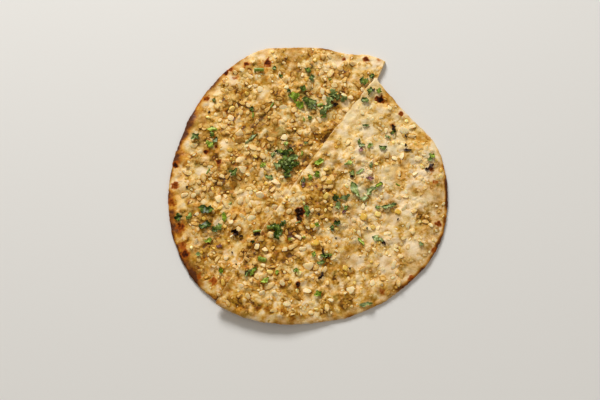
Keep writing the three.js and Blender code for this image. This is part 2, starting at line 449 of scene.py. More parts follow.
# The largest chips: picture point, length and width in pixels, and turn in degrees.
LARGE_CHIPS = [
    ((250, 76), 8, 6, 0), ((260, 89), 8, 7, 40), ((283, 107), 9, 6, 0), ((232, 118), 11, 7, -20),
    ((240, 133), 9, 9, 60), ((254, 147), 10, 8, 20), ((263, 156), 7, 6, -20), ((284, 137), 8, 7, 0),
    ((243, 170), 12, 8, -10), ((267, 168), 8, 6, -10), ((276, 182), 10, 7, -15), ((257, 121), 6, 5, 80),
    ((260, 195), 10, 8, -50), ((219, 199), 9, 8, -45), ((212, 194), 7, 6, -40), ((250, 218), 12, 6, 30),
    ((237, 229), 9, 6, 15), ((197, 214), 5, 4, 0), ((196, 242), 9, 4, 85), ((271, 235), 9, 6, -25),
    ((261, 239), 7, 6, 60), ((257, 246), 8, 5, 75), ((265, 249), 7, 6, -20), ((285, 249), 8, 5, 25),
    ((303, 249), 8, 6, 20), ((298, 237), 7, 6, 0), ((308, 266), 12, 9, 35), ((247, 260), 7, 6, 0),
    ((320, 257), 6, 5, -60), ((299, 65), 7, 5, -60), ((341, 68), 7, 5, 70), ((351, 98), 7, 5, 20),
    ((297, 115), 6, 5, 0), ((346, 110), 8, 6, 10), ((404, 130), 9, 8, 0), ((412, 127), 9, 6, 50),
    ((412, 136), 9, 5, 0), ((403, 145), 7, 6, 0), ((402, 156), 9, 5, 80), ((395, 158), 7, 6, 0),
    ((418, 158), 8, 6, 10), ((387, 155), 7, 6, 0), ((352, 158), 7, 5, 30), ((412, 231), 7, 7, 0),
    ((350, 290), 10, 8, 40), ((307, 291), 8, 6, 10), ((344, 205), 5, 5, 0), ((330, 186), 8, 6, 45),
    ((275, 207), 7, 6, 0), ((289, 211), 7, 5, 30), ((226, 258), 7, 5, 10), ((240, 285), 8, 5, 0),
    ((283, 283), 8, 6, 0), ((262, 293), 7, 5, 20), ((330, 300), 7, 5, 0), ((303, 198), 6, 5, 0),
    ((222, 176), 7, 5, 0), ((210, 167), 7, 4, 0), ((286, 87), 6, 5, 0), ((268, 101), 7, 5, 0),
]


class Places:
    """Places already taken by toppings, so that later ones keep clear of them."""

    def __init__(self, pitch):
        self.pitch = pitch
        self.grid = {}

    def free(self, x, y, radius, overlap):
        i, j = int(x // self.pitch), int(y // self.pitch)
        near = [p for a in (-1, 0, 1) for b in (-1, 0, 1) for p in self.grid.get((i + a, j + b), ())]
        return all(
            math.hypot(px - x, py - y) > (pr + radius) * (1 - overlap) for px, py, pr in near)

    def take(self, x, y, radius):
        key = (int(x // self.pitch), int(y // self.pitch))
        self.grid.setdefault(key, []).append((x, y, radius))


taken = Places(8 * MM)


def lies_well(x, y, radius):
    """Where a topping may lie: the skin there, or None near an edge or off the bread."""
    spot = skin_at(x, y)
    if spot is None:
        return None
    half, point, _ = spot
    if half.rim.find_nearest(point)[3] < radius + (0.5 + 6.5 * left_side(x)) * MM:
        return None
    if any(math.hypot(x - a, y - b) < radius + r for a, b, r in char_rounds):
        return None
    clear = bare_width(y) if half is over else 0.4 * radius
    if half.cut.find_nearest(point)[3] < max(clear, 0.4 * radius):
        return None
    if half is under and over.cut.find_nearest(point)[3] < 0.8 * radius:
        return None
    return spot


bare_rounds = [(*plan_of(*at), radius * PIXEL) for at, radius in BARE_PATCHES]
char_rounds = [(*plan_of(*at), 0.7 * radius * PIXEL) for at, radius, _ in CHAR_SPOTS]


def mash_share(x, y):
    """How likely a bit of the mash lies at a plan position: few on bare dough, more in clumps."""
    clump = 0.5 + 0.8 * noise.noise((x / (11 * MM), y / (11 * MM), 4.4))
    bare = max(1 - smooth(math.hypot(x - a, y - b) / r, 0.5, 1.2) for a, b, r in bare_rounds)
    return (1 - 0.93 * bare) * min(1, max(0.10, clump))


def sow(sizes, share, overlap):
    """Random free places for bits of each width, as (half, point, normal, length, width, turn)."""
    low, high = cad_box
    found = []
    for width_mm, count in sizes:
        for _ in range(TRIES_PER_BIT * count):
            x, y = rng.uniform(low[0], high[0]), rng.uniform(low[1], high[1])
            width = width_mm * rng.uniform(0.75, 1.05) * MM
            length = width * rng.uniform(1.0, 2.0)
            if rng.random() > share(x, y) or not taken.free(x, y, length / 2, overlap):
                continue
            spot = lies_well(x, y, length / 2)
            if spot is None or rng.random() < (1 - CALM_SHARE) * calm(spot[0], x):
                continue
            taken.take(x, y, 0.25 * (length + width))
            found.append((*spot, length, width, rng.uniform(0, 360)))
            count -= 1
            if not count:
                break
    return found


def set_out(listed):
    """The listed places that lie on the bread, as (half, point, normal, length, width, turn)."""
    found = []
    for (u, v), length, width, turn in listed:
        x, y = plan_of(u, v, BIT_HEIGHT)
        spot = skin_at(x, y)
        if spot is not None:
            taken.take(x, y, 0.25 * (length + width) * PIXEL)
            found.append((*spot, length * PIXEL, width * PIXEL, turn))
    return found


def taken_apart(shape):
    """The corners and triangles of a finished shape, as arrays."""
    corners = np.array([tuple(v.co) for v in shape.verts])
    triangles = np.array([[v.index for v in f.verts] for f in shape.faces])
    shape.free()
    return corners, triangles


def chopped_bit(seed, fineness, closest=0.32, furthest=0.8):
    """A worn bit 2 wide as corners and triangles: a ball cut flat on top, and on several sides
    between closest and furthest from its middle."""
    shaper = random.Random(seed)
    bit = bmesh.new()
    bmesh.ops.create_icosphere(bit, subdivisions=fineness, radius=1)
    sides = [Vector((shaper.gauss(0, 1), shaper.gauss(0, 1), 0.4 * shaper.gauss(0, 1))) for _ in range(6)]
    cuts = [(side.normalized(), shaper.uniform(closest, furthest)) for side in sides]
    cuts.append((UP, FLAT_TOP))
    for corner in bit.verts:
        for side, reach in cuts:
            beyond = corner.co.dot(side) - reach
            if beyond > 0:
                corner.co -= 0.9 * beyond * side
    corners, triangles = taken_apart(bit)
    corners -= (corners.min(0) + corners.max(0)) / 2
    return corners / np.abs(corners).max(0), triangles


def set_marks(mesh, marks):
    """Keeps values of a mesh's points under their names, for its material to read."""
    for name, values in marks.items():
        layer = mesh.attributes.new(name, "FLOAT", "POINT")
        layer.data.foreach_set("value", np.asarray(values, np.float32))


def joined(name, bits, marks):
    """One piece of many bits, each given as its corners and triangles; marks are per corner."""
    start = np.cumsum([0] + [len(corners) for corners, _ in bits])
    corners = np.concatenate([corners for corners, _ in bits])
    triangles = np.concatenate([own + first for (_, own), first in zip(bits, start)])
    mesh = bpy.data.meshes.new(name)
    mesh.from_pydata(corners.tolist(), [], triangles.tolist())
    set_marks(mesh, marks)
    mesh.shade_smooth()
    mesh.set_sharp_from_angle(angle=SHARP_EDGE)
    piece = bpy.data.objects.new(name, mesh)
    bpy.context.scene.collection.objects.link(piece)
    return piece


def turned(normal, degrees):
    """The turn of a bit that lies on the skin, spun about its normal and leaning a little."""
    up = Vector(normal).slerp(UP, 0.4)
    up += Vector((rng.gauss(0, LEAN), rng.gauss(0, LEAN), 0))
    spin = Euler((0, 0, math.radians(degrees))).to_matrix()
    return np.array(UP.rotation_difference(up).to_matrix() @ spin)


def scatter(name, places, shapes, flatness, sink, tones):
    """One piece of bits at places, each bit with its tone, and each corner with its level, from which its
    material paints shade low on the bit.
    """
    bits, corner_tones, painted_shade_levels = [], [], []
    for (half, point, normal, length, width, turn), tone in zip(places, tones):
        corners, triangles = rng.choice(shapes)
        height = width * rng.uniform(*flatness)
        placed = corners * (length / 2, width / 2, height / 2) @ turned(normal, turn).T
        softness = calm(half, point.x)
        bedded = sink + 0.08 * softness
        bits.append((placed + np.array(point) + (0, 0, height * (0.5 - bedded)), triangles))
        corner_tones += [tone] * len(corners)
        # How high each corner stands on its bit: its material paints shade low on the bit, and light on top
        # of a bead.
        painted_shade_levels += (placed[:, 2] / (height / 2) + 0.4 * softness).tolist()
    return joined(name, bits, {"tone": corner_tones, "level": painted_shade_levels})


def skin_tones(places):
    """How pale or brown the skin came out at each place."""
    points = np.array([tuple(point) for _, point, *_ in places])
    to_rim = np.array([half.rim.find_nearest(point)[3] for half, point, *_ in places])
    paler = CALM_CHIP_PALENESS * np.array([float(calm(half, point.x)) for half, point, *_ in places])
    return skin_pattern(points, to_rim, np.full(len(places), FAR_AWAY))["tone"] + paler


chips = set_out(LARGE_CHIPS)
large_count = len(chips)
sown = sow(GARLIC_SIZES, mash_share, 0.25)
chips += [place for place in sown if place[4] > CRUMB_WIDTH]
crumbs = [place for place in sown if place[4] <= CRUMB_WIDTH]
paler = [LARGE_CHIP_PALENESS if i < large_count else 0.0 for i in range(len(chips))]
chip_tones = [CHIP_TONE + 0.6 * tone + more + rng.gauss(0, 0.15)
              for tone, more in zip(skin_tones(chips), paler)]
crumb_tones = [CRUMB_TONE + 0.8 * tone + rng.gauss(0, 0.16) for tone in skin_tones(crumbs)]
chip_shapes = [chopped_bit(seed, 2) for seed in range(14)]
crumb_shapes = [chopped_bit(seed, 1) for seed in range(20, 34)]
garlic_pieces = (
    scatter("garlic_chips", chips, chip_shapes, (0.42, 0.58), CHIP_SINK, chip_tones),
    scatter("garlic_crumbs", crumbs, crumb_shapes, (0.5, 0.7), CHIP_SINK, crumb_tones),
)


def srgb(red, green, blue):
    """A colour as seen on a screen, 0 to 255, as the linear colour that a shader takes."""
    def linear(c):
        c /= 255
        return c / 12.92 if c <= 0.04045 else ((c + 0.055) / 1.055) ** 2.4
    return (linear(red), linear(green), linear(blue), 1)


class Finish:
    """A material with one shader, and short ways to add its nodes: soft noise, the marks that a
    mesh carries at its points, sums, and ramps of baked colour."""

    def __init__(self, name, specular=0.5):
        self.material = bpy.data.materials.new(name)
        self.material.use_nodes = True
        self.nodes = self.material.node_tree.nodes
        self.links = self.material.node_tree.links
        self.shader = self.nodes["Principled BSDF"]
        self.shader.inputs["Specular IOR Level"].default_value = specular
        self.place = self.node("ShaderNodeTexCoord").outputs["Object"]

    def node(self, kind, inputs=None, **settings):
        made = self.nodes.new(kind)
        for name, value in settings.items():
            setattr(made, name, value)
        for name, value in (inputs or {}).items():
            self.put(made.inputs[name], value)
        return made

    def put(self, socket, value):
        if isinstance(value, bpy.types.NodeSocket):
            self.links.new(value, socket)
        else:
            socket.default_value = value

    def mark(self, name):
        return self.node("ShaderNodeAttribute", attribute_name=name).outputs["Fac"]

    def grain(self, size, detail=2.0, roughness=0.5):
        return self.node("ShaderNodeTexNoise", {
            "Vector": self.place, "Scale": 1 / size, "Detail": detail,
            "Roughness": roughness}).outputs["Fac"]

    def step(self, value, low, high, to_low=0.0, to_high=1.0):
        return self.node("ShaderNodeMapRange", {
            "Value": value, "From Min": low, "From Max": high,
            "To Min": to_low, "To Max": to_high}, interpolation_type="SMOOTHSTEP").outputs["Result"]

    def maths(self, operation, first, second):
        return self.node("ShaderNodeMath", {0: first, 1: second},
                         operation=operation).outputs["Value"]

    def add(self, first, second):
        return self.maths("ADD", first, second)

    def less(self, first, second):
        return self.maths("SUBTRACT", first, second)

    def times(self, first, second):
        return self.maths("MULTIPLY", first, second)

    def mix(self, amount, first, second):
        made = self.node("ShaderNodeMix", {"Factor": amount, 6: first, 7: second}, data_type="RGBA")
        return made.outputs[2]

    def ramp(self, value, stops):
        """A colour that runs through stops, pairs of a value and a colour."""
        made = self.node("ShaderNodeValToRGB", {"Fac": value})
        elements = made.color_ramp.elements
        while len(elements) < len(stops):
            elements.new(0.5)
        for element, (position, colour) in zip(elements, stops):
            element.position = position
            element.color = colour
        return made.outputs["Color"]

    def warped(self, amount, size):
        """Each place, shifted by soft noise, so that what is drawn there isn't straight."""
        sway = self.node("ShaderNodeTexNoise", {"Vector": self.place, "Scale": 1 / size, "Detail": 1.0})
        return self.node("ShaderNodeVectorMath", {
            0: sway.outputs["Color"], 1: (amount, amount, amount), 2: self.place},
            operation="MULTIPLY_ADD").outputs["Vector"]

    def cells(self, place, size):
        """Packed cells: the distance to a cell's edge, as a share of size, and its own value."""
        inputs = {"Vector": place, "Scale": 1 / size}
        edge = self.node("ShaderNodeTexVoronoi", inputs, feature="DISTANCE_TO_EDGE")
        own = self.node("ShaderNodeTexVoronoi", inputs)
        return edge.outputs["Distance"], own.outputs["Color"]

    def bump(self, height, strength, distance):
        return self.node("ShaderNodeBump", {
            "Height": height, "Strength": strength, "Distance": distance}).outputs["Normal"]

    def translucent(self, share, depths, scale):
        """Lets light in, as deep for red, green and blue as depths times scale."""
        self.put(self.shader.inputs["Subsurface Weight"], share)
        self.put(self.shader.inputs["Subsurface Radius"], depths)
        self.put(self.shader.inputs["Subsurface Scale"], scale)

    def finish(self, colour, roughness, normal=None):
        self.put(self.shader.inputs["Base Color"], colour)
        self.put(self.shader.inputs["Roughness"], roughness)
        if normal is not None:
            self.links.new(normal, self.shader.inputs["Normal"])
        return self.material


coat = Finish("garlic", 0.16)
shade = coat.add(coat.mark("tone"), coat.step(coat.grain(1.8 * MM, 3), 0.3, 0.7, -0.14, 0.14))
# Each chip is darker towards its foot: toasted there, and painted shade where it sits in the dough.
shade = coat.add(shade, coat.step(coat.mark("level"), 0.0, 0.6, -0.25, 0.0))
colour = coat.ramp(shade, [
    (0.0, srgb(143, 94, 8)), (0.25, srgb(188, 135, 44)), (0.5, srgb(220, 175, 92)),
    (0.75, srgb(237, 204, 138)), (1.0, srgb(248, 224, 172))])
coat.translucent(0.35, (1.0, 0.6, 0.25), 1.2 * MM)
garlic_finish = coat.finish(colour, coat.step(coat.grain(2.5 * MM), 0.3, 0.7, 0.45, 0.7),
                         coat.bump(coat.grain(0.9 * MM, 2), 0.3, 0.1 * MM))
for piece in garlic_pieces:
    piece.data.materials.append(garlic_finish)
    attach(piece, "root")

# ------------------------------------------------------------------------------------- Golden garlic
# Bits of garlic that fried in the butter: round and golden, and clear as beads where the butter
# set on them. They lie between the chips, partly sunk like them.
GOLDEN_SIZES = [(3.4, 24), (2.6, 50)]
GOLDEN_SINK = 0.45
# Picture point, length and width in pixels, and turn in degrees.
GOLDEN_BEADS = [
    ((364, 217), 8, 8, 0), ((378, 214), 7, 6, 0), ((373, 227), 5, 5, 0), ((326, 196), 8, 6, 60),
    ((232, 108), 7, 6, 0), ((270, 272), 7, 5, 0), ((315, 243), 9, 7, 20), ((329, 182), 7, 6, 0),
    ((398, 212), 7, 6, 0), ((247, 93), 6, 5, -40), ((313, 226), 6, 5, 0), ((345, 268), 6, 6, 0),
    ((225, 226), 5, 5, 0), ((230, 150), 6, 5, 0), ((322, 146), 7, 6, 0), ((299, 273), 6, 6, 0),
]
golden = set_out(GOLDEN_BEADS) + sow(GOLDEN_SIZES, mash_share, 0.1)
golden_tones = [0.6 + rng.gauss(0, 0.2) for _ in golden]
golden_shapes = [chopped_bit(seed, 3, 0.66, 0.95) for seed in range(60, 66)]
beads = scatter("golden_garlic", golden, golden_shapes, (0.5, 0.7), GOLDEN_SINK, golden_tones)

coat = Finish("golden_garlic", 0.4)
# Each bead is painted paler on top and darker towards its foot: painted light and shade, as light from
# above falls on it.
shade = coat.add(coat.mark("tone"), coat.step(coat.mark("level"), -0.6, 0.9, -0.5, 0.15))
colour = coat.ramp(shade, [
    (0.0, srgb(161, 108, 14)), (0.3, srgb(198, 146, 33)), (0.6, srgb(227, 181, 67)),
    (0.85, srgb(246, 208, 108)), (1.0, srgb(253, 227, 148))])
coat.translucent(0.35, (1.0, 0.55, 0.15), 2.0 * MM)
beads.data.materials.append(coat.finish(colour, 0.34, coat.bump(coat.grain(1.4 * MM, 2), 0.2, 0.1 * MM)))
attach(beads, "root")

# -------------------------------------------------------------------- Butter, browning and painted shade on the dough
# Butter and garlic juice run into the hollows and brown there, and shade is painted into the hollows too,
# in a ring round each bit of garlic, and on the under half along the over half's edge; the rim and the
# blisters brown more, and char where they touched the fire. The underside baked evenly on the hot wall.
PALENESS = 0.61
CALM_PALENESS = 0.145
UNDERSIDE_PALENESS = 0.55
# How much darker the rim is: all round, further at the left and the right, and on its burnt edge.
RIM_TONE, LEFT_RIM_TONE, RIGHT_RIM_TONE, BURNT_EDGE_TONE = 0.15, 0.15, 0.36, 0.34
# How much darker the under half is along the over half's cut edge: painted shadow of the over half.
LAP_SHADOW_TONE = 0.10
# Butter browns round each bit of garlic, with a ring of painted shade where the bit meets the dough,
# and the dough stands up there; the gap to the nearest bit is in mm, up to a reach.
GARLIC_REACH = 4 * MM
NO_GARLIC = 9.0
OUTLINE_BROWNING_AND_SHADE = 0.24
COLLAR_HEIGHT = 0.28 * MM
garlic_trees = [search_tree(piece.data) for piece in (*garlic_pieces, beads)]


def garlic_gap(place):
    """How many mm a point is from the nearest bit of garlic."""
    found = [tree.find_nearest(place, GARLIC_REACH)[3] for tree in garlic_trees]
    return min((away / MM for away in found if away is not None), default=NO_GARLIC)


def rim_browning(half, left, right):
    """How browned the rim is, and how burnt its very edge is, at each point of a half."""
    brown = np.clip(0.5 + 0.5 * left + 0.5 * lumps(half.points, 9 * MM, 3.3), 0, 1.3)
    brown *= 1 - smooth(half.to_rim, (0.3 + 2 * left) * MM, (4 + 4 * left) * MM)
    brown += 0.7 * right * (1 - smooth(half.to_rim, 0.8 * MM, 2.8 * MM))
    return brown, left * (1 - smooth(half.to_rim, 0.3 * MM, 2.4 * MM))


for half in halves:
    soft = calm(half, half.points[:, 0])
    gap = np.full(len(half.points), NO_GARLIC)
    for k in np.nonzero((half.top > 0.05) & (half.shown > 0.05))[0]:
        gap[k] = garlic_gap(Vector(half.points[k]))
    left = left_side(half.points[:, 0])
    right = smooth(half.points[:, 0], 50 * MM, 85 * MM) * smooth(half.points[:, 1], 40 * MM, 0)
    rim_brown, burnt_edge = rim_browning(half, left, right)
    tone = PALENESS + CALM_PALENESS * soft + half.pattern["tone"] * (1 - 0.2 * soft)
    tone -= (RIM_TONE + LEFT_RIM_TONE * left + RIGHT_RIM_TONE * right) * rim_brown
    tone -= BURNT_EDGE_TONE * burnt_edge
    if half is under:
        # Painted shadow of the over half along its cut edge.
        tone -= LAP_SHADOW_TONE * np.exp(-np.square(half.distance(over.cut) / (4 * MM)))
    toast = rim_brown * (0.4 + 0.5 * np.maximum(left, right)) + half.pattern["toast"]
    half.marks["toast"] = np.clip(toast, 0, 1)
    half.marks["stain"] = half.pattern["stain"]
    underside = UNDERSIDE_PALENESS + 0.10 * lumps(half.points, 14 * MM, 5.1, 3)
    underside -= 0.35 * smooth(lumps(half.points, 9 * MM, 9.9, 2), 0.9, 1.6)
    half.marks["tone"] = tone * (1 - half.bottom) + underside * half.bottom
    back = soft * smooth(half.points[:, 1], 10 * MM, 60 * MM)
    butter = half.pattern["butter"] + 0.5 * np.exp(-np.square(gap / 1.5)) - 0.16 * soft
    butter += 0.35 * back - 0.6 * right
    half.marks["butter"] = np.clip(butter, 0, 1) * (0.25 + 0.75 * half.top)
    coarse = half.pattern["coarse"] * (1 - 0.75 * half.pattern["bare"]) * (1 - 0.2 * soft)
    charred = patchy(half.points, CHAR_SPOTS, 0.2, 2.4 * MM)
    half.marks["mash"] = coarse * half.top * half.shown * (1 - charred)
    half.marks["gap"] = gap
    half.marks["amber"] = (1 - 0.6 * soft) * (1 - 0.7 * half.pattern["bare"]) * (1 - 0.6 * right)
    # The ring round each bit of garlic: browned butter and painted shade.
    half.marks["outline"] = OUTLINE_BROWNING_AND_SHADE * (1 - 0.3 * soft)
    half.marks["char"] = charred * (1 - half.bottom)
    cut_face = (1 - half.bottom) * (1 - half.top)
    half.marks["crumb"] = (1 - smooth(half.to_cut, 0.2 * MM, 0.9 * MM)) * cut_face
    half.points[:, 2] += COLLAR_HEIGHT * np.exp(-np.square(gap / 1.2)) * half.top * half.shown
    half.keep_shape()


def even_stops(*shades):
    """Ramp stops of a crust from its darkest to its palest shade, evenly apart."""
    return [(k / (len(shades) - 1), srgb(*shade)) for k, shade in enumerate(shades)]


DRY_CRUST = even_stops(
    (98, 60, 4), (149, 102, 22), (188, 139, 62), (218, 176, 116), (235, 204, 158), (244, 220, 182))
BUTTERED_CRUST = even_stops(
    (93, 55, 7), (147, 96, 5), (186, 132, 24), (215, 166, 70), (234, 196, 118), (244, 215, 156))
TOASTED_CRUST = even_stops(
    (85, 41, 4), (136, 74, 2), (177, 108, 8), (208, 142, 34), (235, 178, 81), (250, 206, 125))
STAINED_CRUST = even_stops(
    (82, 64, 2), (124, 102, 24), (166, 138, 62), (200, 174, 106), (226, 204, 150), (240, 222, 178))

coat = Finish("baked_dough", 0.15)
# Chunks and crumbs of mash with darker lines between them, and the brown line round each bit of
# garlic: browned butter and painted shade, clearer in some places.
winding = coat.warped(3 * MM, 5 * MM)
chunk_edge, chunk = coat.cells(winding, 4.0 * MM)
crumb_edge, crumb = coat.cells(winding, 2.1 * MM)
drawn = coat.step(coat.grain(7 * MM), 0.4, 0.6, 0.1, 1.0)
# Darker lines along the cells' edges: browned butter in the cracks, and painted shade there.
crevice = coat.add(coat.step(chunk_edge, 0.0, 0.14, 0.24, 0.0), coat.step(crumb_edge, 0.0, 0.2, 0.12, 0.0))
mash = coat.add(coat.step(chunk, 0.2, 0.8, -0.15, 0.15), coat.step(crumb, 0.2, 0.8, -0.09, 0.09))
mash = coat.less(mash, coat.times(crevice, drawn))
outline = coat.times(coat.step(coat.mark("gap"), 0.2, 1.0, 1.0, 0.0), drawn)
outline = coat.times(outline, coat.mark("outline"))
shade = coat.add(coat.mark("tone"), coat.times(mash, coat.mark("mash")))
shade = coat.less(shade, outline)
shade = coat.add(shade, coat.step(coat.grain(1.2 * MM, 3, 0.6), 0.3, 0.7, -0.07, 0.07))
# Dry crust, with butter, green stains and toasted places over it.
butter = coat.add(coat.mark("butter"), coat.step(coat.grain(2.6 * MM, 2), 0.35, 0.65, -0.3, 0.3))
amber = coat.times(coat.mark("amber"), coat.step(coat.grain(4.5 * MM, 3), 0.47, 0.68, 0.0, 0.95))
toast = coat.add(coat.mark("toast"), amber)
toast = coat.add(toast, coat.times(outline, 2.5))
colour = coat.mix(butter, coat.ramp(shade, DRY_CRUST), coat.ramp(shade, BUTTERED_CRUST))
stain = coat.add(coat.mark("stain"), coat.step(coat.grain(3.4 * MM, 2), 0.52, 0.68, 0.0, 0.5))
colour = coat.mix(stain, colour, coat.ramp(shade, STAINED_CRUST))
colour = coat.mix(toast, colour, coat.ramp(shade, TOASTED_CRUST))
# The pale, flaky crumb of the cut faces.
layers = coat.node("ShaderNodeMapping", {"Vector": winding, "Scale": (1, 1, 4)}).outputs["Vector"]
pores = coat.node("ShaderNodeTexNoise", {"Vector": layers, "Scale": 1 / (2.4 * MM), "Detail": 3.0})
inside = coat.ramp(coat.step(pores.outputs["Fac"], 0.34, 0.62), [
    (0.0, srgb(164, 112, 50)), (0.35, srgb(208, 164, 98)), (1.0, srgb(244, 220, 172))])
colour = coat.mix(coat.mark("crumb"), colour, inside)
# Scorched spots, from their brown ring to their black middle.
scorch = coat.add(coat.mark("char"), coat.step(coat.grain(1.5 * MM, 2), 0.3, 0.7, -0.12, 0.12))
colour = coat.mix(coat.step(scorch, 0.05, 0.6), colour, srgb(176, 88, 8))
colour = coat.mix(coat.step(scorch, 0.35, 0.85), colour, srgb(98, 36, 0))
colour = coat.mix(coat.step(scorch, 0.65, 1.05), colour, srgb(30, 11, 2))
roughness = coat.add(coat.step(butter, 0.2, 0.9, 0.66, 0.46), coat.step(scorch, 0.1, 0.6, 0.0, 0.4))
rise = coat.add(coat.step(chunk_edge, 0.0, 0.3, 0.0, 1.0), coat.grain(0.9 * MM, 3))
rise = coat.add(rise, coat.times(coat.mark("crumb"), coat.step(pores.outputs["Fac"], 0.3, 0.6)))
dough_finish = coat.finish(colour, roughness, coat.bump(rise, 0.4, 0.25 * MM))

for half, slot in ((under, "under_dough"), (over, "over_dough")):
    set_marks(half.mesh, half.marks)
    half.mesh.shade_smooth()
    piece = bpy.data.objects.new(half.node + "_dough", half.mesh)
    bpy.context.scene.collection.objects.link(piece)
    piece.data.materials.clear()
    piece.data.materials.append(dough_finish)
    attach(piece, "root")
    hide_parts(half.node)

# --------------------------------------------------------------------------------- Coriander leaves
# Fresh coriander, roughly chopped and thrown on: thin leaves that wilted and crinkled in the oven,
# dark green where they folded up, dusty green where they lie flat, bright where they stayed fresh.
LEAF_THICKNESS = 0.22 * MM
# How far above the dough's top a leaf shows.
LEAF_HEIGHT = 1.5 * MM
# A leaf wider than this, in pixels, was cut into shreds; one width for each shade of leaf.
SHRED_WIDTHS = (5.4, 5.8, 6.0)
NARROWEST_SHRED = 1.8
# Picture point, length and width in pixels, and turn in degrees, for each shade of leaf.
DARK_LEAVES = [
    ((274, 68), 6, 4, 60), ((281, 75), 5, 4, 30), ((308, 70), 8, 4, -35), ((364, 81), 10, 7, -10),
    ((303, 89), 7, 5, -20), ((289, 91), 5, 4, 50), ((252, 109), 7, 4, 90), ((212, 134), 6, 5, 80),
    ((215, 140), 8, 4, 80), ((214, 100), 4, 4, 0), ((269, 177), 8, 5, -10), ((307, 211), 13, 6, 85),
    ((206, 209), 15, 7, -5), ((178, 217), 10, 7, 95), ((205, 225), 12, 7, 15), ((217, 228), 11, 6, 45),
    ((233, 173), 9, 8, -50), ((198, 254), 5, 4, -60), ((274, 226), 8, 6, 80), ((277, 229), 10, 6, 75),
    ((277, 236), 9, 6, 100), ((283, 223), 7, 4, 30), ((280, 232), 7, 5, 60), ((337, 223), 9, 7, 40),
    ((332, 228), 7, 4, 80), ((336, 198), 8, 6, 40), ((338, 205), 9, 6, 80), ((346, 208), 7, 4, 60),
    ((326, 255), 12, 4, -10), ((321, 262), 8, 4, 5), ((359, 141), 6, 3, 80), ((393, 132), 6, 3, 20),
    ((430, 159), 6, 3, 0), ((383, 147), 8, 5, -10), ((253, 242), 4, 3, 0), ((248, 273), 9, 4, 50),
    ((310, 118), 5, 5, 50), ((285, 156), 11, 7, 70), ((292, 158), 12, 7, 20), ((289, 170), 12, 7, 70),
    ((281, 162), 8, 5, 30), ((296, 164), 9, 5, 15), ((287, 175), 9, 5, -30), ((280, 151), 7, 5, -30),
    ((290, 150), 7, 5, 60), ((284, 168), 8, 5, 120), ((291, 164), 9, 6, 45), ((378, 207), 6, 4, 20),
    ((372, 76), 7, 5, 50), ((370, 91), 8, 5, 75),
]
DUSTY_LEAVES = [
    ((195, 137), 10, 7, 30), ((311, 103), 13, 8, 30), ((306, 100), 8, 6, 100), ((312, 108), 10, 6, -10),
    ((333, 93), 10, 7, 95), ((330, 100), 10, 7, 60), ((337, 97), 9, 7, -40), ((344, 99), 9, 6, 50),
    ((324, 111), 11, 7, 60), ((329, 107), 9, 6, 20), ((312, 78), 8, 5, 100), ((365, 100), 9, 6, 10),
    ((355, 190), 16, 6, -58), ((364, 198), 10, 5, 0), ((371, 191), 13, 5, 42), ((345, 197), 11, 5, 25),
    ((389, 206), 16, 5, 22), ((376, 238), 7, 5, 80), ((380, 240), 8, 4, -20), ((366, 125), 7, 3, 0),
    ((362, 145), 7, 4, 10), ((388, 136), 6, 3, -20), ((371, 165), 7, 3, 70), ((360, 171), 9, 4, 20),
    ((352, 173), 8, 4, -20), ((436, 153), 10, 6, -60), ((432, 156), 7, 5, 30), ((251, 138), 16, 3, 58),
    ((273, 154), 6, 5, 0), ((278, 166), 9, 6, 50), ((421, 244), 5, 3, 0), ((366, 304), 14, 4, 0),
    ((306, 143), 5, 3, 0), ((303, 181), 8, 3, 80), ((285, 163), 8, 6, 0),
]
FRESH_LEAVES = [
    ((212, 129), 10, 5, 0), ((210, 144), 9, 6, -20),
    ((379, 91), 7, 5, 0), ((294, 96), 11, 7, -10), ((299, 105), 12, 7, -50), ((189, 216), 8, 5, 50),
    ((224, 217), 11, 4, -80), ((208, 240), 8, 5, 30), ((319, 162), 10, 5, 10), ((317, 174), 7, 5, 50),
    ((379, 185), 9, 4, 15), ((286, 143), 5, 4, 0), ((263, 165), 7, 4, 40), ((350, 163), 6, 5, 20),
    ((370, 145), 8, 4, 25), ((253, 271), 10, 4, 45), ((265, 280), 9, 4, 10), ((221, 271), 5, 5, 0),
    ((318, 294), 8, 6, 10), ((317, 225), 5, 6, 80), ((361, 241), 9, 3, -35), ((296, 270), 6, 5, 0),
    ((314, 254), 7, 4, 70), ((277, 272), 5, 3, 90), ((290, 239), 4, 3, 0), ((324, 116), 6, 4, 45),
    ((310, 177), 6, 4, 80),
]


def top_at(x, y):
    """The height of the bread's top there, with its garlic, or None off the bread."""
    spot = skin_at(x, y)
    if spot is None:
        return None
    hits = [tree.ray_cast(Vector((x, y, ABOVE_BREAD)), DOWN)[0] for tree in garlic_trees]
    return max([spot[1].z] + [hit.z for hit in hits if hit is not None])


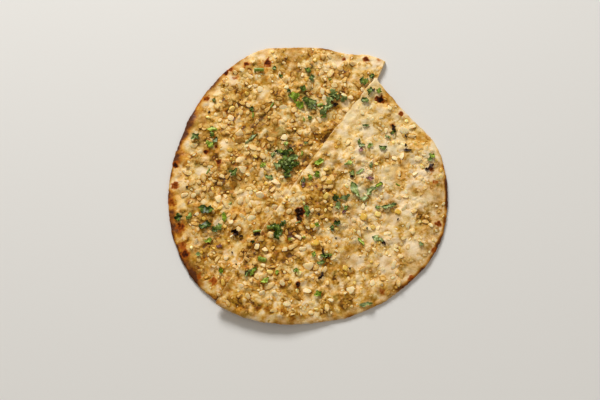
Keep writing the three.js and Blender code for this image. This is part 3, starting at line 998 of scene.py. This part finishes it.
def leaf(length, width, seed, crinkle=1.0):
    """A chopped, lobed, crinkled leaf flat on the origin: corners, triangles, and how near its
    edge each corner is, 0 on the midrib and 1 at the edge."""
    shaper = random.Random(seed)
    blade = bmesh.new()
    bmesh.ops.create_grid(blade, x_segments=12, y_segments=4, size=1)
    bend, far = shaper.uniform(-0.6, 0.6), shaper.uniform(0, 50)
    for corner in blade.verts:
        x, y, _ = corner.co
        lobe = noise.noise((3.0 * x + far, 9 * math.copysign(1, y), 0.5)) / NOISE_SPREAD
        reach = max(0.15, 1 - abs(x) ** 2.8) * max(0.45, 1 + 0.26 * lobe)
        wave = noise.noise((1.4 * x + far, 1.2 * y, 4.5)) / NOISE_SPREAD
        corner.co = (x * length / 2, (y * reach + bend * (x * x - 0.4)) * width / 2,
                     crinkle * (0.12 * wave + 0.14 * y * y) * width)
    bmesh.ops.solidify(blade, geom=blade.faces[:], thickness=LEAF_THICKNESS)
    bmesh.ops.recalc_face_normals(blade, faces=blade.faces)
    bmesh.ops.triangulate(blade, faces=blade.faces)
    corners, triangles = taken_apart(blade)
    along = 2 * corners[:, 0] / length
    off = np.abs(2 * corners[:, 1] / width - bend * (along ** 2 - 0.4))
    return corners, triangles, np.clip(off / np.maximum(0.2, 1 - np.abs(along) ** 3), 0, 1)


def laid_out(corners, x, y, degrees):
    """The plan positions of a bit's corners, once it is turned and moved to a plan position."""
    cos, sin = math.cos(math.radians(degrees)), math.sin(math.radians(degrees))
    return corners[:, :2] @ np.array(((cos, sin), (-sin, cos))) + (x, y)


def draped(corners, x, y, degrees, lift):
    """A soft bit's corners laid over the bread at a plan position, or None off the bread."""
    plan = laid_out(corners, x, y, degrees)
    ground = [top_at(a, b) for a, b in plan.tolist()]
    if None in ground:
        return None
    ground = np.array(ground)
    bridged = np.maximum(ground, 0.75 * ground.mean() + 0.25 * ground.max() - 0.3 * MM)
    low = corners[:, 2].min()
    return np.column_stack((plan, bridged + corners[:, 2] - low + lift))


bits, kinds, ridge_light, edges = [], [], [], []
for kind, leaves in enumerate((DARK_LEAVES, DUSTY_LEAVES, FRESH_LEAVES)):
    for (u, v), length, width, turn in leaves:
        shreds = max(1, round(width / SHRED_WIDTHS[kind]))
        for shred in range(shreds):
            across = ((shred + 0.5) / shreds - 0.5) * width
            aside = math.radians(turn + 90)
            x, y = plan_of(
                u + across * math.cos(aside), v - across * math.sin(aside), LEAF_HEIGHT)
            long = length * rng.uniform(0.85, 1.15) * PIXEL
            wide = max(NARROWEST_SHRED, width / shreds) * rng.uniform(0.8, 1.1) * PIXEL
            flat, triangles, edge = leaf(long, wide, rng.random())
            corners = draped(flat, x, y, turn + rng.gauss(0, 12), rng.uniform(0.0, 0.1) * MM)
            if corners is None:
                continue
            bits.append((corners, triangles))
            kinds += [kind / 2 + rng.gauss(0.0, 0.13)] * len(corners)
            # How high each corner stands in the crinkles, for painted light on the ridges and painted shade
            # in the folds, with a random shift for each leaf.
            bend = (flat[:, 2] - flat[:, 2].mean()) / flat[:, 2].std()
            ridge_light += (bend + rng.gauss(0, 0.9)).tolist()
            edges += edge.tolist()
coriander = joined("coriander_leaves", bits, {"kind": kinds, "bend": ridge_light, "edge": edges})

coat = Finish("coriander_leaf", 0.4)
# Painted light on the ridges of the crinkles and painted shade in their folds.
shade = coat.step(coat.mark("bend"), -1.5, 1.5, 0.3, 0.8)
shade = coat.add(shade, coat.step(coat.grain(1.3 * MM, 2), 0.3, 0.7, -0.2, 0.2))
shade = coat.less(shade, coat.step(coat.mark("edge"), 0.55, 1.0, 0.0, 0.35))
shade = coat.add(shade, coat.step(coat.mark("edge"), 0.05, 0.3, 0.2, 0.0))
folded = coat.ramp(shade, [
    (0.0, srgb(26, 36, 2)), (0.5, srgb(76, 98, 18)), (1.0, srgb(138, 158, 56))])
flat_lying = coat.ramp(shade, [
    (0.0, srgb(58, 70, 14)), (0.5, srgb(128, 144, 72)), (1.0, srgb(192, 204, 136))])
fresh = coat.ramp(shade, [
    (0.0, srgb(84, 104, 4)), (0.5, srgb(146, 170, 30)), (1.0, srgb(204, 220, 100))])
colour = coat.mix(coat.step(coat.mark("kind"), 0.0, 0.5), folded, flat_lying)
colour = coat.mix(coat.step(coat.mark("kind"), 0.5, 1.0), colour, fresh)
coriander.data.materials.append(
    coat.finish(colour, 0.42, coat.bump(coat.grain(0.8 * MM, 3), 0.5, 0.15 * MM)))
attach(coriander, "root")

# ---------------------------------------------------------------------------------- Coriander stems
# Short pieces of coriander stem, cut across with a knife: thin, hollow, juicy and bright green.
# They lie where they fell, on top of the garlic.
STEM_SIDES = 10
# How much of the width that shows is the stem itself, without its shadow, and how far above the
# dough's top a stem or a scrap shows.
STEM_SHARE = 0.8
SCRAP_HEIGHT = 1.2 * MM
# Picture point, length and width in pixels, and turn in degrees.
STEMS = [
    ((259, 70), 10, 5, 0), ((271, 227), 8, 5, 5), ((262, 259), 8, 6, -15), ((320, 105), 6, 5, 20),
    ((257, 231), 8, 3, 10), ((272, 105), 6, 2.5, 60), ((253, 115), 5, 2.5, 90), ((302, 153), 5, 2.5, 80),
    ((304, 119), 4, 2, 90), ((330, 79), 3, 2, 0), ((304, 237), 3, 2, 0), ((298, 222), 5, 2, 20),
    ((208, 171), 6, 2, 60), ((230, 203), 4, 2, 30), ((347, 163), 6, 2.5, 40), ((398, 184), 5, 2, -30),
]


def stem(length, width, seed):
    """A cut stem lying along X, its ends hollowed a little, as corners and triangles."""
    shaper = random.Random(seed)
    tube = bmesh.new()
    bmesh.ops.create_cone(tube, cap_ends=True, segments=STEM_SIDES, radius1=0.5, radius2=0.46, depth=1)
    ends = [face for face in tube.faces if len(face.verts) > 4]
    bmesh.ops.inset_region(tube, faces=ends, thickness=0.14)
    bmesh.ops.inset_region(tube, faces=ends, thickness=0.03, depth=-0.08)
    ribs = [e for e in tube.edges if abs(e.verts[0].co.z - e.verts[1].co.z) > 0.6]
    bmesh.ops.subdivide_edges(tube, edges=ribs, cuts=3)
    bend = shaper.uniform(-0.25, 0.25)
    for corner in tube.verts:
        x, y, z = corner.co
        corner.co = (z * length, (y + bend * (4 * z * z - 0.5)) * width, x * width * 0.85)
    bmesh.ops.recalc_face_normals(tube, faces=tube.faces)
    bmesh.ops.triangulate(tube, faces=tube.faces)
    return taken_apart(tube)


bits, tones = [], []
for (u, v), length, width, turn in STEMS:
    x, y = plan_of(u, v, SCRAP_HEIGHT)
    straight, triangles = stem(length * PIXEL, width * PIXEL * STEM_SHARE, int(u * 300 + v))
    ground = top_at(x, y)
    if ground is None:
        continue
    heights = straight[:, 2] + ground + 0.2 * width * PIXEL
    bits.append((np.column_stack((laid_out(straight, x, y, turn), heights)), triangles))
    tones += [rng.uniform(0.2, 1.0)] * len(straight)
stems = joined("coriander_stems", bits, {"tone": tones})

coat = Finish("coriander_stem", 0.5)
colour = coat.mix(coat.mark("tone"), srgb(120, 138, 20), srgb(156, 178, 40))
colour = coat.mix(coat.step(coat.grain(1.2 * MM, 2), 0.45, 0.7), colour, srgb(84, 98, 8))
stems.data.materials.append(coat.finish(colour, 0.35, coat.bump(coat.grain(0.7 * MM, 2), 0.3, 0.1 * MM)))
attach(stems, "root")

# ------------------------------------------------------------------------------------ Burnt flakes
# Garlic skins and leaf ends that burnt black in the oven: thin, brittle scraps that curled up and
# cling to the buttered top.
FLAKE_CRINKLE = 1.3
# Picture point, length and width in pixels, and turn in degrees.
BURNT_FLAKES = [
    ((235, 233), 8, 5, -35), ((241, 236), 4, 3, 0), ((257, 235), 7, 3, 0), ((321, 276), 9, 3, 55),
    ((299, 217), 8, 3, -50), ((298, 211), 6, 5, 80), ((394, 128), 9, 3.5, -70), ((406, 136), 4, 2, -70),
    ((406, 145), 2.5, 2.5, 0), ((408, 150), 9, 2.5, 0), ((323, 251), 7, 2.5, 100), ((327, 256), 6, 3, 0),
    ((335, 105), 7, 4, 10), ((247, 273), 5, 3, 30), ((209, 112), 3, 3, 0), ((276, 151), 4, 3, 0),
    ((384, 243), 5, 3, -40), ((298, 285), 4, 3, 0), ((252, 242), 3, 2, 0), ((236, 264), 2, 1.5, 0),
    ((258, 235), 4, 2, 0), ((350, 268), 2.5, 1.5, 20), ((398, 219), 2.5, 1.5, 30), ((367, 228), 2, 1.5, 60),
    ((336, 238), 2, 1.5, 0), ((319, 214), 3, 2, 60), ((302, 88), 3, 2, 0), ((232, 252), 2, 1.5, 0),
    ((431, 166), 8, 4, 40), ((427, 169), 5, 3, 0), ((187, 187), 3, 2, 0), ((352, 176), 4, 2.5, 0),
    ((374, 90), 4, 2, 70),
]


def scraps(name, listed, seed_step, crinkle, lift):
    """One piece of thin crinkled scraps at the listed places, each shaped by its own seed."""
    bits = []
    for (u, v), length, width, turn in listed:
        x, y = plan_of(u, v, SCRAP_HEIGHT)
        flat, triangles, _ = leaf(length * PIXEL, width * PIXEL, int(u * seed_step + v), crinkle)
        corners = draped(flat, x, y, turn, lift)
        if corners is not None:
            bits.append((corners, triangles))
    return joined(name, bits, {})


flakes = scraps("burnt_flakes", BURNT_FLAKES, 200, FLAKE_CRINKLE, 0.0)

coat = Finish("char", 0.25)
colour = coat.mix(coat.step(coat.grain(1.2 * MM, 3), 0.4, 0.7), srgb(24, 13, 6), srgb(86, 48, 20))
flakes.data.materials.append(coat.finish(colour, 0.5, coat.bump(coat.grain(0.6 * MM, 3), 0.6, 0.15 * MM)))
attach(flakes, "root")

# -------------------------------------------------------------------------------------- Red onion
# A few thin slivers of red onion that fell in with the garlic: limp, and dark purple where they
# dried. They lie flat on the bread.
ONION_CRINKLE = 0.8
# Picture point, length and width in pixels, and turn in degrees.
ONION_SLIVERS = [
    ((361, 150), 5, 4, 0), ((370, 178), 8, 3.5, -8), ((303, 184), 6, 2.5, 80),
    ((344, 212), 5, 2.5, 30), ((219, 246), 6, 3, 10),
]
onion = scraps("onion_slivers", ONION_SLIVERS, 500, ONION_CRINKLE, 0.1 * MM)

coat = Finish("onion", 0.5)
colour = coat.mix(coat.step(coat.grain(3 * MM, 3), 0.42, 0.62), srgb(104, 52, 58), srgb(190, 132, 122))
onion.data.materials.append(coat.finish(colour, 0.4, coat.bump(coat.grain(0.8 * MM, 2), 0.3, 0.1 * MM)))
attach(onion, "root")

# ----------------------------------------------------------------------------------- Floor and light
# A plain pale floor, and soft studio light from behind, above and a little to the left.
FLOOR_HALF_WIDTH = 2.5
bpy.context.scene.view_settings.view_transform = "Standard"
floor_mesh = bpy.data.meshes.new("floor")
board = bmesh.new()
bmesh.ops.create_grid(board, x_segments=1, y_segments=1, size=FLOOR_HALF_WIDTH)
board.to_mesh(floor_mesh)
board.free()
floor = bpy.data.objects.new("floor", floor_mesh)
bpy.context.scene.collection.objects.link(floor)
coat = Finish("floor")
floor_mesh.materials.append(coat.finish(srgb(226, 224, 220), 0.9))

world = bpy.data.worlds.new("studio")
bpy.context.scene.world = world
world.use_nodes = True
room = world.node_tree.nodes["Background"].inputs
room["Color"].default_value = (1, 0.94, 0.84, 1)
room["Strength"].default_value = 0.3


def softbox(name, at, size, power):
    """A square soft light that shines at the bread."""
    lamp = bpy.data.objects.new(name, bpy.data.lights.new(name, "AREA"))
    lamp.data.size = size
    lamp.data.energy = power
    lamp.location = at
    lamp.rotation_euler = (-Vector(at)).to_track_quat("-Z", "Y").to_euler()
    bpy.context.scene.collection.objects.link(lamp)


softbox("key", (-0.48, 1.65, 1.2), 0.75, 44)
softbox("fill", (0.7, -0.8, 1.2), 1.2, 3)
